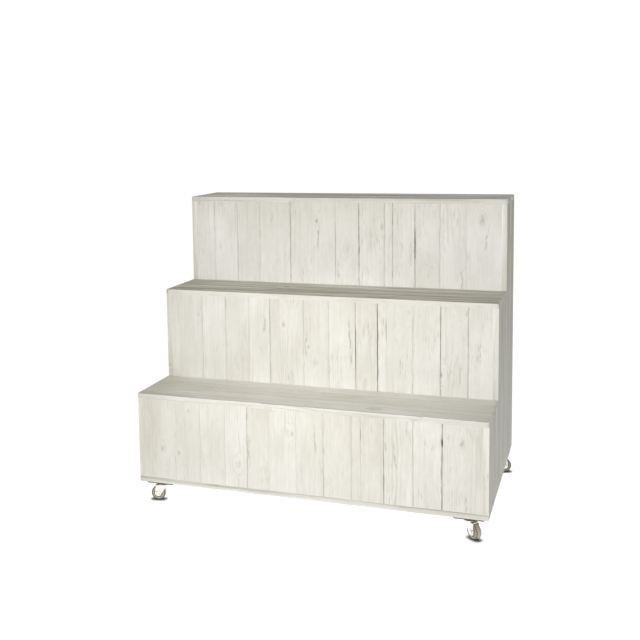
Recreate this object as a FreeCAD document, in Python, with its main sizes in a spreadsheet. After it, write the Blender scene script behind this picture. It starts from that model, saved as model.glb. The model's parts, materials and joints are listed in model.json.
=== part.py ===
import FreeCAD, Part
import math
import os
from Sketcher import Constraint

# Three-step timber display unit on four swivel casters.
# Frame: origin on the floor under the centre of the footprint, +X to the right,
# -Y towards the customer (the front), +Z up. Millimetres.

DRIVING = {
    # the stepped box
    "unit_width": 1200,
    "lower_depth": 250,
    "middle_depth": 250,
    "upper_depth": 260,
    "lower_rise": 315,
    "middle_rise": 325,
    "upper_rise": 325,
    "board": 18,
    "batten": 38,
    "joint_gap": 0.8,
    "arris": 1.2,
    "tread_board": 92,
    "back_board": 97,
    # where each caster's kingpin stands, from the faces of the box
    "king_front": 37,
    "king_front_left": 74,
    "king_front_right": 62,
    "king_rear": 105,
    "king_rear_side": 37,
    # how each fork has swung, and which way the plates lie
    "turn_front_left": 190,
    "turn_front_right": -42,
    "turn_rear_left": 160,
    "turn_rear_right": 20,
    "plate_turn_front": 0,
    "plate_turn_rear": 90,
    # caster plate and race cup
    "caster_height": 72,
    "plate_length": 100,
    "plate_width": 74,
    "plate_thick": 3,
    "plate_corner": 8,
    "hole_pitch_x": 80,
    "hole_pitch_y": 52,
    "hole_radius": 3.3,
    "cup_outer": 22.6,
    "cup_inner": 20.6,
    "cup_bore": 9,
    "cup_floor": 63.6,
    "cup_lip": 59,
    "cup_neck": 19,
    # ball race and kingpin
    "ball_radius": 2.5,
    "ball_circle": 16.5,
    "ball_height": 60.8,
    "king_radius": 4,
    "king_head_radius": 8,
    "king_head_low": 50.4,
    "king_head_top": 52.7,
    "running_gap": 0.07,
    # fork
    "crown_low": 53,
    "crown_top": 55.5,
    "crown_radius": 20,
    "crown_nose": 11,
    "crown_tail": 28,
    "bend_radius": 3,
    "race_top": 58,
    "race_outer": 19.8,
    "race_inner": 13,
    "fork_width": 26,
    "fork_gap": 21,
    "leg_radius": 11,
    # wheel and axle
    "trail": 20,
    "wheel_radius": 25,
    "tyre_width": 18,
    "tyre_round": 3.5,
    "tyre_bore": 20.05,
    "rim_radius": 20,
    "rim_inner": 17,
    "rim_width": 17,
    "web_thick": 6,
    "hub_radius": 9,
    "hub_width": 20.4,
    "sleeve_radius": 5.5,
    "axle_radius": 4,
    "axle_end": 21,
    "hex_radius": 7.5,
    "head_thick": 5.3,
    "nut_thick": 6.5,
    # screws
    "plate_screw_radius": 3,
    "plate_screw_head": 5.5,
    "plate_screw_head_thick": 3,
    "plate_screw_length": 15,
    "frame_screw_radius": 2.5,
    "frame_screw_head": 4.8,
    "frame_screw_length": 68,
    "frame_screw_recess": 0.5,
}

# Widths of the upright boards: left to right in a riser, front to back in a side.
RISER_WIDTHS = {
    "lower": [30, 93, 90, 92, 79, 79, 94, 93, 94, 31, 76, 94, 92, 90, 37],
    "middle": [30, 93, 92, 90, 79, 36, 89, 92, 96, 78, 30, 92, 94, 92, 81],
    "upper": [76, 94, 91, 96, 27, 88, 87, 90, 95, 31, 82, 90, 93, 92, 32],
}
SIDE_WIDTHS = {
    "lower": [84, 92, 74],
    "middle": [92, 92, 66],
    "upper": [88, 94, 78],
}
LEVELS = ["lower", "middle", "upper"]
BACK_BOARDS = 12
BALLS = 12

doc = FreeCAD.newDocument("display_table")
sheet = doc.addObject("Spreadsheet::Sheet", "Sheet")


def enter_cells():
    """One row per driving dimension: its name in column A, its value and alias in column B."""
    cells = dict(DRIVING)
    for level in LEVELS:
        for number, width in enumerate(RISER_WIDTHS[level]):
            cells[f"{level}_riser_board_{number}"] = width
        for number, width in enumerate(SIDE_WIDTHS[level]):
            cells[f"{level}_side_board_{number}"] = width
    for row, (alias, value) in enumerate(cells.items(), start=1):
        sheet.set(f"A{row}", alias)
        sheet.set(f"B{row}", str(value))
        sheet.setAlias(f"B{row}", alias)
    doc.recompute()


def amount(text):
    """Number for a sum of cells such as 'unit_width/2 - board'."""
    total = 0.0
    sign = 1
    for word in text.split():
        if word in ("+", "-"):
            sign = 1 if word == "+" else -1
            continue
        name, _, divisor = word.partition("/")
        value = float(sheet.get(name)) if name[0].isalpha() else float(name)
        total += sign * value / float(divisor or 1)
    return total


def formula(text):
    """The same sum as an expression on the sheet."""
    words = [f"Sheet.{word}" if word[0].isalpha() else word for word in text.split()]
    expression = " ".join(words)
    return f"0 {expression}" if expression.startswith(("-", "+")) else expression


def minus(text):
    """The sum with every sign turned, ready to follow another sum."""
    words = text.split()
    if words[0] not in ("+", "-"):
        words.insert(0, "+")
    swap = {"+": "-", "-": "+"}
    return " ".join(swap.get(word, word) for word in words)


def bind(thing, **properties):
    for name, text in properties.items():
        thing.setExpression(name, formula(text))


def bind_place(thing, x="0", y="0", z="0"):
    for axis, text in zip("xyz", (x, y, z)):
        thing.setExpression(f"Placement.Base.{axis}", formula(text))


# Levels of the steps, as sums of cells.
BASE_TOP = "caster_height + board"
TREAD_TOP = {
    "lower": "caster_height + lower_rise",
    "middle": "caster_height + lower_rise + middle_rise",
    "upper": "caster_height + lower_rise + middle_rise + upper_rise",
}
BACK_FACE = "lower_depth/2 + middle_depth/2 + upper_depth/2"
RISER_FACE = {
    "lower": "- lower_depth/2 - middle_depth/2 - upper_depth/2",
    "middle": "lower_depth/2 - middle_depth/2 - upper_depth/2",
    "upper": "lower_depth/2 + middle_depth/2 - upper_depth/2",
}
INNER_WIDTH = "unit_width - board - board"


def under_tread(level):
    return f"{TREAD_TOP[level]} - board"


def box(name, size, corner):
    """A straight timber with its lowest corner at the given place."""
    timber = doc.addObject("Part::Box", name)
    bind(timber, Length=size[0], Width=size[1], Height=size[2])
    bind_place(timber, *corner)
    return timber


def eased(timber, direction):
    """Take the sharp arris off the four long edges that run along one axis."""
    timber.recompute()
    size = amount("arris")
    edges = []
    for number, edge in enumerate(timber.Shape.Edges, start=1):
        run = edge.Vertexes[1].Point.sub(edge.Vertexes[0].Point)
        if abs(abs(run.normalize().dot(direction)) - 1) < 1e-6:
            edges.append((number, size, size))
    chamfer = doc.addObject("Part::Chamfer", timber.Name + "Eased")
    chamfer.Base = timber
    chamfer.Edges = edges
    return chamfer


def group(label, pieces):
    """Several separate pieces of one kind as one sub-part."""
    compound = doc.addObject("Part::Compound", label)
    compound.Links = pieces
    compound.Label = label
    return compound


def single(label, piece):
    piece.Label = label
    return piece


AXIS_X = FreeCAD.Vector(1, 0, 0)
AXIS_Z = FreeCAD.Vector(0, 0, 1)


def riser_planks(level):
    """Vertical boards between the sides, standing on the rail at the riser's foot."""
    low = BASE_TOP if level == "lower" else under_tread(LEVELS[LEVELS.index(level) - 1])
    planks = []
    run = "board - unit_width/2"
    for number in range(len(RISER_WIDTHS[level])):
        width = f"{level}_riser_board_{number}"
        size = (f"{width} - joint_gap", "board", f"{under_tread(level)} {minus(low)}")
        corner = (f"{run} + joint_gap/2", RISER_FACE[level], low)
        planks.append(eased(box(f"{level}RiserPlank{number}", size, corner), AXIS_Z))
        run = f"{run} + {width}"
    return group(f"{level}_riser_planks", planks)


def side_planks(label, left):
    """Vertical boards that follow the steps; the treads lie over them."""
    x_low = "- unit_width/2" if left else "unit_width/2 - board"
    planks = []
    for level in LEVELS:
        run = RISER_FACE[level]
        for number in range(len(SIDE_WIDTHS[level])):
            width = f"{level}_side_board_{number}"
            size = ("board", f"{width} - joint_gap", f"{under_tread(level)} {minus(BASE_TOP)}")
            corner = (x_low, f"{run} + joint_gap/2", BASE_TOP)
            planks.append(eased(box(f"{label}{level}{number}", size, corner), AXIS_Z))
            run = f"{run} + {width}"
    return group(label, planks)


def back_planks():
    """The closed back, between the sides."""
    planks = []
    run = "board - unit_width/2"
    size = ("back_board - joint_gap", "board", f"{under_tread('upper')} {minus(BASE_TOP)}")
    for number in range(BACK_BOARDS):
        corner = (f"{run} + joint_gap/2", f"{BACK_FACE} - board", BASE_TOP)
        planks.append(eased(box(f"BackPlank{number}", size, corner), AXIS_Z))
        run = f"{run} + back_board"
    return group("back_planks", planks)


def tread_boards(level):
    """Two full boards and a narrower one, lengthwise over the sides."""
    full = "tread_board - joint_gap"
    last = f"{level}_depth - tread_board - tread_board - joint_gap"
    boards = []
    run = RISER_FACE[level]
    for number, width in enumerate((full, full, last)):
        corner = ("- unit_width/2", f"{run} + joint_gap/2", under_tread(level))
        piece = box(f"{level}TreadBoard{number}", ("unit_width", width, "board"), corner)
        boards.append(eased(piece, AXIS_X))
        run = f"{run} + tread_board"
    return group(f"{level}_tread_boards", boards)


# Where the battens of the frame stand, front to back.
FRONT_POST = "- lower_depth/2 - middle_depth/2 - upper_depth/2 + board"
MIDDLE_POST = f"{RISER_FACE['middle']} + batten"
UPPER_POST = f"{RISER_FACE['upper']} + batten"
BACK_POST = f"{BACK_FACE} - board - batten"
POST_COLUMNS = {
    "Left": "board - unit_width/2",
    "Centre": "0 - batten/2",
    "Right": "unit_width/2 - board - batten",
}


def posts(label, front, low, high):
    """Three identical upright battens: left, centre and right."""
    size = ("batten", "batten", f"{high} {minus(low)}")
    pieces = [box(label + side, size, (x, front, low)) for side, x in POST_COLUMNS.items()]
    return group(label, pieces)


def long_rail(label, front, low):
    """A batten across the whole inside width."""
    corner = ("board - unit_width/2", front, low)
    return single(label, box(label, (INNER_WIDTH, "batten", "batten"), corner))


def tread_rails(level, front, back):
    """Three battens from front to back that carry one tread."""
    size = ("batten", f"{back} {minus(front)}", "batten")
    low = f"{under_tread(level)} - batten"
    pieces = [box(f"{level}Rail{side}", size, (x, front, low)) for side, x in POST_COLUMNS.items()]
    return group(f"{level}_tread_rails", pieces)


def screw(name, place, turn, radius, head_radius, head_thick, length):
    """A screw whose head's flat top is at the place and whose shank runs along local -Z."""
    shank = doc.addObject("Part::Cylinder", name + "Shank")
    bind(shank, Radius=radius, Height=length)
    bind_place(shank, z=f"0 {minus(length)}")
    head = doc.addObject("Part::Cone", name + "Head")
    bind(head, Radius1=radius, Radius2=head_radius, Height=head_thick)
    bind_place(head, z=f"0 {minus(head_thick)}")
    whole = doc.addObject("Part::MultiFuse", name)
    whole.Shapes = [shank, head]
    whole.Placement = FreeCAD.Placement(FreeCAD.Vector(), turn)
    bind_place(whole, *place)
    return whole


UPRIGHT = FreeCAD.Rotation()
FACING_FRONT = FreeCAD.Rotation(AXIS_X, 90)


def frame_screws():
    """Down through each top rail and back through each foot rail into the posts."""
    down = {
        "lower": f"{FRONT_POST} + batten/2",
        "middle": f"{RISER_FACE['middle']} + batten + board/2",
        "upper": f"{RISER_FACE['upper']} + batten + board/2",
        "back": f"{BACK_POST} + batten/2",
    }
    through = {"lower": RISER_FACE["middle"], "middle": RISER_FACE["upper"]}
    common = ("frame_screw_radius", "frame_screw_head", "frame_screw_radius", "frame_screw_length")
    screws = []
    for side, column in POST_COLUMNS.items():
        x = f"{column} + batten/2"
        for row, y in down.items():
            top = under_tread("upper" if row == "back" else row)
            place = (x, y, f"{top} - frame_screw_recess")
            screws.append(screw(f"Down{row}{side}", place, UPRIGHT, *common))
        for level, y in through.items():
            place = (x, f"{y} + frame_screw_recess", f"{under_tread(level)} - batten/2")
            screws.append(screw(f"Through{level}{side}", place, FACING_FRONT, *common))
    return group("frame_screws", screws)


def carcass():
    """Everything that is screwed and pinned together above the casters."""
    base = box("BaseBoard", ("unit_width", "lower_depth + middle_depth + upper_depth", "board"),
               ("- unit_width/2", RISER_FACE["lower"], "caster_height"))
    post_foot = f"{BASE_TOP} + batten"
    rail_low = {level: f"{under_tread(level)} - batten" for level in LEVELS}
    parts = [single("base_board", base)]
    parts += [riser_planks(level) for level in LEVELS]
    parts += [tread_boards(level) for level in LEVELS]
    parts += [side_planks("left_side_planks", True), side_planks("right_side_planks", False)]
    parts += [back_planks()]
    parts += [
        long_rail("front_bearer", FRONT_POST, BASE_TOP),
        long_rail("back_bearer", BACK_POST, BASE_TOP),
        posts("front_posts", FRONT_POST, post_foot, rail_low["lower"]),
        posts("middle_posts", MIDDLE_POST, BASE_TOP, rail_low["middle"]),
        posts("upper_posts", UPPER_POST, BASE_TOP, rail_low["upper"]),
        posts("back_posts", BACK_POST, post_foot, rail_low["upper"]),
        long_rail("lower_front_rail", FRONT_POST, rail_low["lower"]),
        long_rail("middle_foot_rail", RISER_FACE["middle"], rail_low["lower"]),
        long_rail("middle_front_rail", f"{RISER_FACE['middle']} + board", rail_low["middle"]),
        long_rail("upper_foot_rail", RISER_FACE["upper"], rail_low["middle"]),
        long_rail("upper_front_rail", f"{RISER_FACE['upper']} + board", rail_low["upper"]),
        long_rail("upper_back_rail", BACK_POST, rail_low["upper"]),
        tread_rails("lower", f"{FRONT_POST} + batten", RISER_FACE["middle"]),
        tread_rails("middle", f"{RISER_FACE['middle']} + board + batten", RISER_FACE["upper"]),
        tread_rails("upper", f"{RISER_FACE['upper']} + board + batten", BACK_POST),
        frame_screws(),
    ]
    return parts


# Casters. Each piece is drawn in the caster's own frame, with the kingpin on the Z axis, the
# floor at zero and the wheel trailing towards +X, and is then placed under its corner.


def new_body(name):
    return doc.addObject("PartDesign::Body", name)


def plane(body, role):
    return next(item for item in body.Origin.OriginFeatures if item.Role == role)


def attach(feature, body, role, offset=("0", "0", "0")):
    feature.AttachmentSupport = (plane(body, role), "")
    feature.MapMode = "FlatFace"
    for axis, text in zip("xyz", offset):
        feature.setExpression(f"AttachmentOffset.Base.{axis}", formula(text))


def sketch_on(body, role, offset=("0", "0", "0")):
    sketch = body.newObject("Sketcher::SketchObject", body.Name + "Sketch")
    attach(sketch, body, role, offset)
    return sketch


def pin_point(sketch, curve, end, x, y):
    """Tie one end of a curve to a place given by sums of cells."""
    for kind, text in (("DistanceX", x), ("DistanceY", y)):
        rule = sketch.addConstraint(Constraint(kind, -1, 1, curve, end, amount(text)))
        sketch.setExpression(f"Constraints[{rule}]", formula(text))


def outline(sketch, corners):
    """A closed outline of straight lines through the corners."""
    places = [FreeCAD.Vector(amount(x), amount(y), 0) for x, y in corners]
    for start, end in zip(places, places[1:] + places[:1]):
        sketch.addGeometry(Part.LineSegment(start, end), False)
    for number, (x, y) in enumerate(corners):
        after = (number + 1) % len(corners)
        sketch.addConstraint(Constraint("Coincident", number, 2, after, 1))
        pin_point(sketch, number, 1, x, y)


def circle(sketch, radius, x="0", y="0"):
    centre = FreeCAD.Vector(amount(x), amount(y), 0)
    curve = sketch.addGeometry(Part.Circle(centre, AXIS_Z, amount(radius)), False)
    pin_point(sketch, curve, 3, x, y)
    rule = sketch.addConstraint(Constraint("Radius", curve, amount(radius)))
    sketch.setExpression(f"Constraints[{rule}]", formula(radius))


def pad(body, sketch, length, both_ways=False):
    feature = body.newObject("PartDesign::Pad", body.Name + "Pad")
    feature.Profile = sketch
    feature.SideType = "Symmetric" if both_ways else "One side"
    bind(feature, Length=length)
    return feature


def cut_through(body, sketch):
    feature = body.newObject("PartDesign::Pocket", body.Name + "Pocket")
    feature.Profile = sketch
    feature.Type = "ThroughAll"
    feature.SideType = "Symmetric"
    return feature


def spin(body, sketch):
    """Turn the profile about the sketch's own vertical axis."""
    feature = body.newObject("PartDesign::Revolution", body.Name + "Spin")
    feature.Profile = sketch
    feature.ReferenceAxis = (sketch, ["V_Axis"])
    feature.Angle = 360
    return feature


def round_edges(body, base, radius, chosen):
    """Fillet those edges of a feature that the test picks."""
    doc.recompute()
    names = [f"Edge{number}" for number, edge in enumerate(base.Shape.Edges, start=1) if chosen(edge)]
    feature = body.newObject("PartDesign::Fillet", body.Name + "Fillet")
    feature.Base = (base, names)
    bind(feature, Radius=radius)
    return feature


def is_upright(edge):
    first, last = edge.Vertexes[0].Point, edge.Vertexes[-1].Point
    return abs(last.z - first.z) > 1 and abs(last.x - first.x) + abs(last.y - first.y) < 1e-6


def caster_plate(name):
    """Pressed steel plate with rounded corners, four holes and the race cup under it."""
    body = new_body(name)
    seat = "caster_height - plate_thick"
    flat = sketch_on(body, "XY_Plane", ("0", "0", seat))
    outline(flat, [("- plate_length/2", "- plate_width/2"), ("plate_length/2", "- plate_width/2"),
                   ("plate_length/2", "plate_width/2"), ("- plate_length/2", "plate_width/2")])
    sheet_steel = pad(body, flat, "plate_thick")
    round_edges(body, sheet_steel, "plate_corner", is_upright)
    cup = sketch_on(body, "XZ_Plane")
    outline(cup, [("cup_bore", seat), ("cup_bore", "cup_floor"), ("cup_inner", "cup_floor"),
                  ("cup_inner", "cup_lip"), ("cup_outer", "cup_lip"), ("cup_outer", "cup_floor"),
                  ("cup_neck", seat)])
    spin(body, cup)
    holes = sketch_on(body, "XY_Plane")
    for x in ("- hole_pitch_x/2", "hole_pitch_x/2"):
        for y in ("- hole_pitch_y/2", "hole_pitch_y/2"):
            circle(holes, "hole_radius", x, y)
    circle(holes, "king_radius + running_gap")
    cut_through(body, holes)
    return body


def touch_point(outside, centre, radius, side):
    """Where a line from an outside point touches a circle, on one side of it."""
    away = outside.sub(centre)
    swing = side * math.acos(radius / away.Length)
    angle = math.atan2(away.y, away.x) + swing
    return centre.add(FreeCAD.Vector(radius * math.cos(angle), radius * math.sin(angle), 0))


def fork_profile(body):
    """Side view: a flat crown, legs that taper down to a round end about the axle."""
    side_view = sketch_on(body, "XZ_Plane")
    corners = [("crown_tail", "crown_low"), ("crown_tail", "crown_top"),
               ("- crown_nose", "crown_top"), ("- crown_nose", "crown_low")]
    tail_low, tail_top, nose_top, nose_low = [
        FreeCAD.Vector(amount(x), amount(y), 0) for x, y in corners]
    axle = FreeCAD.Vector(amount("trail"), amount("wheel_radius"), 0)
    radius = amount("leg_radius")
    back = touch_point(tail_low, axle, radius, -1)
    front = touch_point(nose_low, axle, radius, 1)
    bottom = axle.add(FreeCAD.Vector(0, -radius, 0))
    curves = [
        Part.LineSegment(tail_low, tail_top),
        Part.LineSegment(tail_top, nose_top),
        Part.LineSegment(nose_top, nose_low),
        Part.LineSegment(nose_low, front),
        Part.Arc(front, bottom, back),
        Part.LineSegment(back, tail_low),
    ]
    for curve in curves:
        side_view.addGeometry(curve, False)
    for number in (0, 1, 2):
        side_view.addConstraint(Constraint("Coincident", number, 2, number + 1, 1))
    side_view.addConstraint(Constraint("Tangent", 3, 2, 4, 1))
    side_view.addConstraint(Constraint("Tangent", 4, 2, 5, 1))
    side_view.addConstraint(Constraint("Coincident", 5, 2, 0, 1))
    for number, (x, y) in enumerate(corners):
        pin_point(side_view, number, 1, x, y)
    pin_point(side_view, 4, 3, "trail", "wheel_radius")
    rule = side_view.addConstraint(Constraint("Radius", 4, radius))
    side_view.setExpression(f"Constraints[{rule}]", formula("leg_radius"))
    return side_view


def caster_fork(name):
    """Pressed fork: two legs under a crown that carries the lower race."""
    body = new_body(name)
    blank = pad(body, fork_profile(body), "fork_width", both_ways=True)
    crown_top = amount("crown_top")

    def is_bend(edge):
        flat = all(abs(vertex.Z - crown_top) < 1e-6 for vertex in edge.Vertexes)
        return flat and abs(edge.Vertexes[0].Y - edge.Vertexes[-1].Y) < 1e-6

    round_edges(body, blank, "bend_radius", is_bend)
    crown = sketch_on(body, "XY_Plane", ("0", "0", "crown_low"))
    circle(crown, "crown_radius")
    pad(body, crown, "crown_top - crown_low")
    race = sketch_on(body, "XY_Plane", ("0", "0", "crown_top"))
    circle(race, "race_outer")
    circle(race, "race_inner")
    pad(body, race, "race_top - crown_top")
    slot = sketch_on(body, "YZ_Plane")
    outline(slot, [("- fork_gap/2", "0"), ("fork_gap/2", "0"),
                   ("fork_gap/2", "crown_low"), ("- fork_gap/2", "crown_low")])
    cut_through(body, slot)
    king_hole = sketch_on(body, "XY_Plane")
    circle(king_hole, "king_radius + running_gap")
    cut_through(body, king_hole)
    axle_hole = sketch_on(body, "XZ_Plane")
    circle(axle_hole, "axle_radius", "trail", "wheel_radius")
    cut_through(body, axle_hole)
    return body


def turned(name, profile):
    """A piece turned about the axle: the profile gives radius and distance along the axle."""
    body = new_body(name)
    section = sketch_on(body, "XY_Plane", ("trail", "0", "wheel_radius"))
    outline(section, profile)
    return body, spin(body, section)


def wheel_core(name):
    bore = "sleeve_radius + running_gap"
    profile = [(bore, "- hub_width/2"), ("hub_radius", "- hub_width/2"),
               ("hub_radius", "- web_thick/2"), ("rim_inner", "- web_thick/2"),
               ("rim_inner", "- rim_width/2"), ("rim_radius", "- rim_width/2"),
               ("rim_radius", "rim_width/2"), ("rim_inner", "rim_width/2"),
               ("rim_inner", "web_thick/2"), ("hub_radius", "web_thick/2"),
               ("hub_radius", "hub_width/2"), (bore, "hub_width/2")]
    return turned(name, profile)[0]


def tyre(name):
    profile = [("tyre_bore", "- tyre_width/2"), ("wheel_radius", "- tyre_width/2"),
               ("wheel_radius", "tyre_width/2"), ("tyre_bore", "tyre_width/2")]
    body, ring = turned(name, profile)
    outer = amount("wheel_radius")

    def is_shoulder(edge):
        return hasattr(edge.Curve, "Radius") and abs(edge.Curve.Radius - outer) < 1e-6

    round_edges(body, ring, "tyre_round", is_shoulder)
    return body


def axle_sleeve(name):
    profile = [("axle_radius", "- fork_gap/2"), ("sleeve_radius", "- fork_gap/2"),
               ("sleeve_radius", "fork_gap/2"), ("axle_radius", "fork_gap/2")]
    return turned(name, profile)[0]


def hexagon(body, start, thick):
    """A hexagonal head or nut on the axle; the XZ plane's normal is -Y, so it grows forwards."""
    head = body.newObject("PartDesign::AdditivePrism", body.Name + "Hexagon")
    attach(head, body, "XZ_Plane", ("trail", "wheel_radius", start))
    head.Polygon = 6
    bind(head, Circumradius="hex_radius", Height=thick)
    return head


def axle_bolt(name):
    body = new_body(name)
    hexagon(body, "fork_width/2", "head_thick")
    shank = body.newObject("PartDesign::AdditiveCylinder", name + "Shank")
    attach(shank, body, "XZ_Plane", ("trail", "wheel_radius", "0 - axle_end"))
    bind(shank, Radius="axle_radius", Height="axle_end + fork_width/2")
    return body


def axle_nut(name):
    body = new_body(name)
    hexagon(body, "0 - fork_width/2 - nut_thick", "nut_thick")
    bore = sketch_on(body, "XZ_Plane")
    circle(bore, "axle_radius", "trail", "wheel_radius")
    cut_through(body, bore)
    return body


def kingpin(name):
    """Riveted pin: its head holds the fork up and its shank ends flush with the plate."""
    body = new_body(name)
    section = sketch_on(body, "XZ_Plane")
    outline(section, [("0", "king_head_low"), ("king_head_radius", "king_head_low"),
                      ("king_head_radius", "king_head_top"), ("king_radius", "king_head_top"),
                      ("king_radius", "caster_height"), ("0", "caster_height")])
    spin(body, section)
    return body


def bearing_balls(name):
    balls = []
    for number in range(BALLS):
        ball = doc.addObject("Part::Sphere", f"{name}{number}")
        bind(ball, Radius="ball_radius")
        angle = math.radians(360 * number / BALLS)
        for axis, share in (("x", math.cos(angle)), ("y", math.sin(angle))):
            ball.setExpression(f"Placement.Base.{axis}", f"Sheet.ball_circle * {share:.6f}")
        ball.setExpression("Placement.Base.z", formula("ball_height"))
        balls.append(ball)
    return group(name, balls)


def plate_screws(name):
    """Four screws up through the plate; their heads are under it."""
    screws = []
    upside_down = FreeCAD.Rotation(AXIS_X, 180)
    place_z = "caster_height - plate_thick - plate_screw_head_thick"
    for x in ("0 - hole_pitch_x/2", "hole_pitch_x/2"):
        for y in ("0 - hole_pitch_y/2", "hole_pitch_y/2"):
            number = len(screws)
            screws.append(screw(f"{name}{number}", (x, y, place_z), upside_down, "plate_screw_radius",
                                "plate_screw_head", "plate_screw_head_thick",
                                "plate_screw_length + plate_screw_head_thick + plate_thick"))
    return group(name, screws)


FRONT_KINGPINS = f"{RISER_FACE['lower']} + king_front"
REAR_KINGPINS = f"{BACK_FACE} - king_rear"
CORNERS = {
    "front_left": ("king_front_left - unit_width/2", FRONT_KINGPINS),
    "front_right": ("unit_width/2 - king_front_right", FRONT_KINGPINS),
    "rear_left": ("king_rear_side - unit_width/2", REAR_KINGPINS),
    "rear_right": ("unit_width/2 - king_rear_side", REAR_KINGPINS),
}


def under_corner(piece, corner, turning):
    """Place a caster piece under its corner, turned with the fork if it swivels."""
    angle = amount(f"turn_{corner}" if turning else f"plate_turn_{corner.split('_')[0]}")
    piece.Placement = FreeCAD.Placement(FreeCAD.Vector(), FreeCAD.Rotation(AXIS_Z, angle))
    bind_place(piece, *CORNERS[corner])
    return piece


def casters():
    parts = []
    shared = {"caster_kingpins": [], "bearing_balls": [], "caster_screws": []}
    fixed = {"plate": caster_plate}
    swivelling = {
        "fork": caster_fork,
        "wheel_core": wheel_core,
        "tyre": tyre,
        "axle_sleeve": axle_sleeve,
        "axle_bolt": axle_bolt,
        "axle_nut": axle_nut,
    }
    for corner in CORNERS:
        short = "".join(word.capitalize() for word in corner.split("_"))
        for makers, turning in ((fixed, False), (swivelling, True)):
            for kind, maker in makers.items():
                piece = under_corner(maker(f"{short}{kind}"), corner, turning)
                parts.append(single(f"{corner}_{kind}", piece))
        shared["caster_kingpins"].append(under_corner(kingpin(f"{short}Kingpin"), corner, False))
        shared["bearing_balls"].append(under_corner(bearing_balls(f"{short}Balls"), corner, False))
        shared["caster_screws"].append(under_corner(plate_screws(f"{short}Screws"), corner, False))
    parts += [group(label, pieces) for label, pieces in shared.items()]
    return parts


def check(parts):
    """Stop if any object of the document or any sub-part failed."""
    for item in doc.Objects:
        if "Invalid" in item.State or "Error" in item.State:
            raise RuntimeError(f"{item.Name} ({item.Label}): {item.State}")
    for part in parts:
        shape = part.Shape
        if shape.isNull() or not shape.isValid() or not shape.Solids:
            raise RuntimeError(f"{part.Label} has no valid solid")
        for feature in getattr(part, "Group", []):
            if feature.TypeId == "PartDesign::Pocket":
                before = feature.BaseFeature.Shape.Volume
                if feature.Shape.Volume > before - 1:
                    raise RuntimeError(f"{feature.Name} in {part.Label} cuts nothing")


enter_cells()
sub_parts = carcass() + casters()
doc.recompute()
check(sub_parts)
os.makedirs("parts", exist_ok=True)
for sub_part in sub_parts:
    sub_part.Shape.exportStep(f"parts/{sub_part.Label}.step")
    bounds = sub_part.Shape.BoundBox
    print(f"{sub_part.Label:26s} {len(sub_part.Shape.Solids):3d} solids"
          f"  x {bounds.XMin:8.2f} {bounds.XMax:8.2f}  y {bounds.YMin:8.2f} {bounds.YMax:8.2f}"
          f"  z {bounds.ZMin:8.2f} {bounds.ZMax:8.2f}")
print(len(sub_parts), "sub-parts")
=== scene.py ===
# %% [markdown]
# # A three-step display table in whitewashed pine
#
# A shop stands its goods on this stepped box of planks and rolls it about on four small casters.
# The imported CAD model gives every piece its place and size. This lesson gives the pieces their
# looks: sawn boards that aren't quite alike, thin paint that lets the wood through, and casters.
# What is already right in the CAD, such as a pressed fork, only gets a finish. What would look too
# clean, such as a plank, is modelled again in its place.

# %% The frame
import json
import math
import random

import bmesh
import bpy
from mathutils import Matrix, Vector, noise


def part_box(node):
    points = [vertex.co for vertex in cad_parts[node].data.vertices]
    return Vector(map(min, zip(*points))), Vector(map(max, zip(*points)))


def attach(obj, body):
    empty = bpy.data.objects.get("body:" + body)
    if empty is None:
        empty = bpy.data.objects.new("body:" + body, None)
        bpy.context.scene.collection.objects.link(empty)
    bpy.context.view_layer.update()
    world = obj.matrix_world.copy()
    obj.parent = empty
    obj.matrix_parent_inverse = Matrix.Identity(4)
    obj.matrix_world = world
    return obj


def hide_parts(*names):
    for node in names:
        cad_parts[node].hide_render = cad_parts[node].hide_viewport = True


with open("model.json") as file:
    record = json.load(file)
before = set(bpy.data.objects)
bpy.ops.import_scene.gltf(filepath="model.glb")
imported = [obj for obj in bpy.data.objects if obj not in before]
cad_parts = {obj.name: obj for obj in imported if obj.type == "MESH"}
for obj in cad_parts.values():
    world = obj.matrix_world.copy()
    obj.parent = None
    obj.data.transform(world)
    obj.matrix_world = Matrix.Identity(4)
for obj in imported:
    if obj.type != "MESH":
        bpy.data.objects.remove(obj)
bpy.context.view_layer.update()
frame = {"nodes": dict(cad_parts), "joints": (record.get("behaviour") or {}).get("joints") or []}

MM = 0.001

# %% [markdown]
# ## Camera
#
# The eye is a little higher than the top tread and to the right of the table. A Track To
# constraint could aim the camera, but it leaves no say over the roll, so the camera's turns are
# given one by one. It looks down its own -Z axis: it is tipped up from the floor, turned about the
# vertical and rolled by a hair. The lens shift slides the frame without bending the uprights, as a
# view camera does.

# %% The camera
EYE = Vector((0.9226, -3.3048, 1.2848))  # metres
TURN_LEFT = 19.337  # degrees, like the next two
TIP_DOWN = 5.811
ROLL = -0.871
FOCAL_LENGTH = 53.97  # mm, like the sensor
SENSOR_WIDTH = 36
FRAME_SHIFT = (0.078, -0.142)  # in widths of the picture

lens = bpy.data.cameras.new("camera")
lens.lens = FOCAL_LENGTH
lens.sensor_width = SENSOR_WIDTH
lens.shift_x, lens.shift_y = FRAME_SHIFT
camera = bpy.data.objects.new("camera", lens)
camera.matrix_world = (
    Matrix.Translation(EYE)
    @ Matrix.Rotation(math.radians(TURN_LEFT), 4, "Z")
    @ Matrix.Rotation(math.radians(90 - TIP_DOWN), 4, "X")
    @ Matrix.Rotation(math.radians(ROLL), 4, "Z")
)
bpy.context.scene.collection.objects.link(camera)
bpy.context.scene.camera = camera

# %% [markdown]
# ## Nodes and colours
#
# A procedural material is a chain of small nodes. It could be joined up by hand in the shader
# editor. In a script, one helper adds any node: its settings go in by name, and its inputs in
# order, each either a plain value or the output of an earlier node. Most chains turn one value
# into another along a ramp, so that has a helper too. Colours are written as they look on a
# screen, and the shader wants them linear.

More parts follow.
